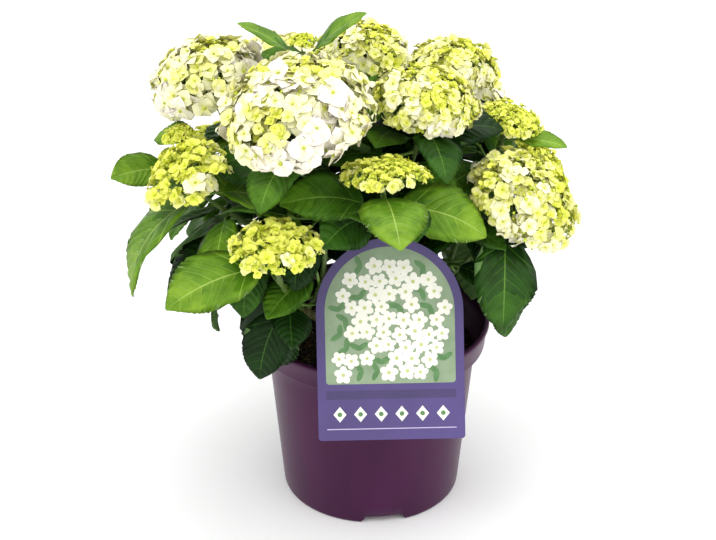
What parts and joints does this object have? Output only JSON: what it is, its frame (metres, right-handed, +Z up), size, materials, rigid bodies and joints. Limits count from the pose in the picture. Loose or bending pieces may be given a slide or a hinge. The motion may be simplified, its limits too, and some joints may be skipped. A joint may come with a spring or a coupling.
{
  "type": "potted hydrangea shrub",
  "caption": "Leafy shrub with domed white, cream and lime flower heads, growing in a purple plastic nursery pot with an arched blank-patterned care label on its rim.",
  "frame": {"origin": "centre of the flat underside of the pot", "axes": "+Z up; -Y towards the front, where the care label hangs; +X to the right as seen from the front"},
  "size_m": [0.431, 0.4363, 0.4934],
  "materials": {
    "pot_plastic": "satin moulded purple plastic",
    "potting_mix": "loose dark fibrous mix",
    "label_card": "smooth printed card",
    "bark": "rough flaking bark",
    "green_wood": "green to brown bark with fine dots",
    "white_flower": "soft white sepals with pale lime middles",
    "cream_flower": "soft cream sepals",
    "lime_flower": "soft lime sepals",
    "flower_bud": "closed green buds",
    "leaf": "satin veined leaf with a toothed edge"
  },
  "bodies": {
    "root": {"pot": "pot_plastic", "potting_mix": "potting_mix", "care_label": "label_card", "woody_crown": "bark", "cane_back": "green_wood", "cane_centre": "green_wood", "cane_front": "green_wood", "cane_front_left": "green_wood", "cane_left": "green_wood", "cane_left_back": "green_wood", "cane_right": "green_wood", "cane_right_back": "green_wood", "shoot_back_left": "white_flower", "shoot_back_low": "lime_flower", "shoot_back_mid": "cream_flower", "shoot_back_right": "white_flower", "shoot_back_top": "cream_flower", "shoot_front_left_low": "lime_flower", "shoot_front_mid": "lime_flower", "shoot_front_top": "white_flower", "shoot_inner_back": "leaf", "shoot_inner_centre": "leaf", "shoot_inner_front": "leaf", "shoot_inner_front_left": "leaf", "shoot_left_back_low": "lime_flower", "shoot_left_bud": "flower_bud", "shoot_left_low": "flower_bud", "shoot_left_mid": "lime_flower", "shoot_left_top": "white_flower", "shoot_right_back_low": "lime_flower", "shoot_right_back_top": "cream_flower", "shoot_right_low": "cream_flower", "shoot_right_top": "cream_flower", "shoot_right_upper": "lime_flower", "shoot_top_bud": "flower_bud"}
  },
  "joints": []
}
